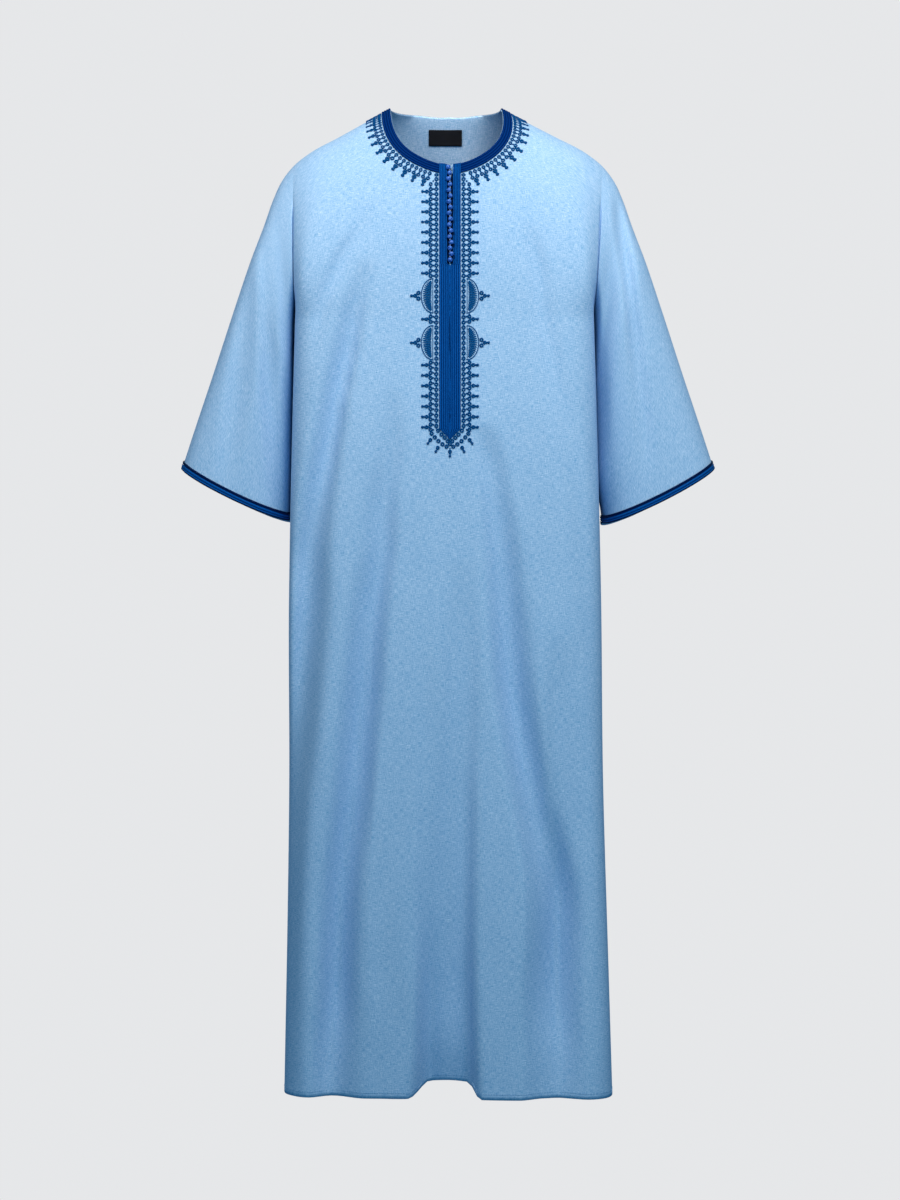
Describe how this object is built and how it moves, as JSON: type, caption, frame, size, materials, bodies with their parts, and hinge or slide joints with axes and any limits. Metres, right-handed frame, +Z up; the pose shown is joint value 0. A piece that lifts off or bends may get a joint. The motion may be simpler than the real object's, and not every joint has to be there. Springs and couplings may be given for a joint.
{
  "type": "thobe",
  "caption": "Ankle-length pale blue thobe with short sleeves cut in one with the body, round neck, braided slit placket, stitched borders and knotted buttons.",
  "frame": {"origin": "between the two neck points at the top of the shoulders, where the garment is held when worn", "axes": "+Z up, -Y is the front of the garment, +X to the right of someone looking at the front"},
  "size_m": [0.77, 0.2532, 1.4153],
  "materials": {
    "chambray": "plain-woven light blue cotton chambray, matt",
    "royal_braid": "royal blue ribbed passementerie braid with a soft satin sheen",
    "embroidery": "dark blue machine embroidery thread, satin stitch",
    "cord_button": "knotted dark blue silky cord",
    "label_black": "plain black woven tab, satin"
  },
  "bodies": {
    "root": {"front": "chambray", "back": "chambray", "neck_braid_left": "royal_braid", "neck_braid_right": "royal_braid", "neck_braid_back": "royal_braid", "placket_braid_left": "royal_braid", "placket_braid_right": "royal_braid", "cuff_braid_left": "royal_braid", "cuff_braid_right": "royal_braid", "neck_border_left": "embroidery", "neck_border_right": "embroidery", "placket_border_left": "embroidery", "placket_border_right": "embroidery", "label": "label_black", "button_01": "cord_button", "button_02": "cord_button", "button_03": "cord_button", "button_04": "cord_button", "button_05": "cord_button", "button_06": "cord_button", "button_07": "cord_button", "button_08": "cord_button", "button_09": "cord_button", "button_10": "cord_button", "button_11": "cord_button", "button_12": "cord_button", "button_13": "cord_button", "button_14": "cord_button", "button_15": "cord_button", "button_16": "cord_button", "button_17": "cord_button"}
  },
  "joints": []
}
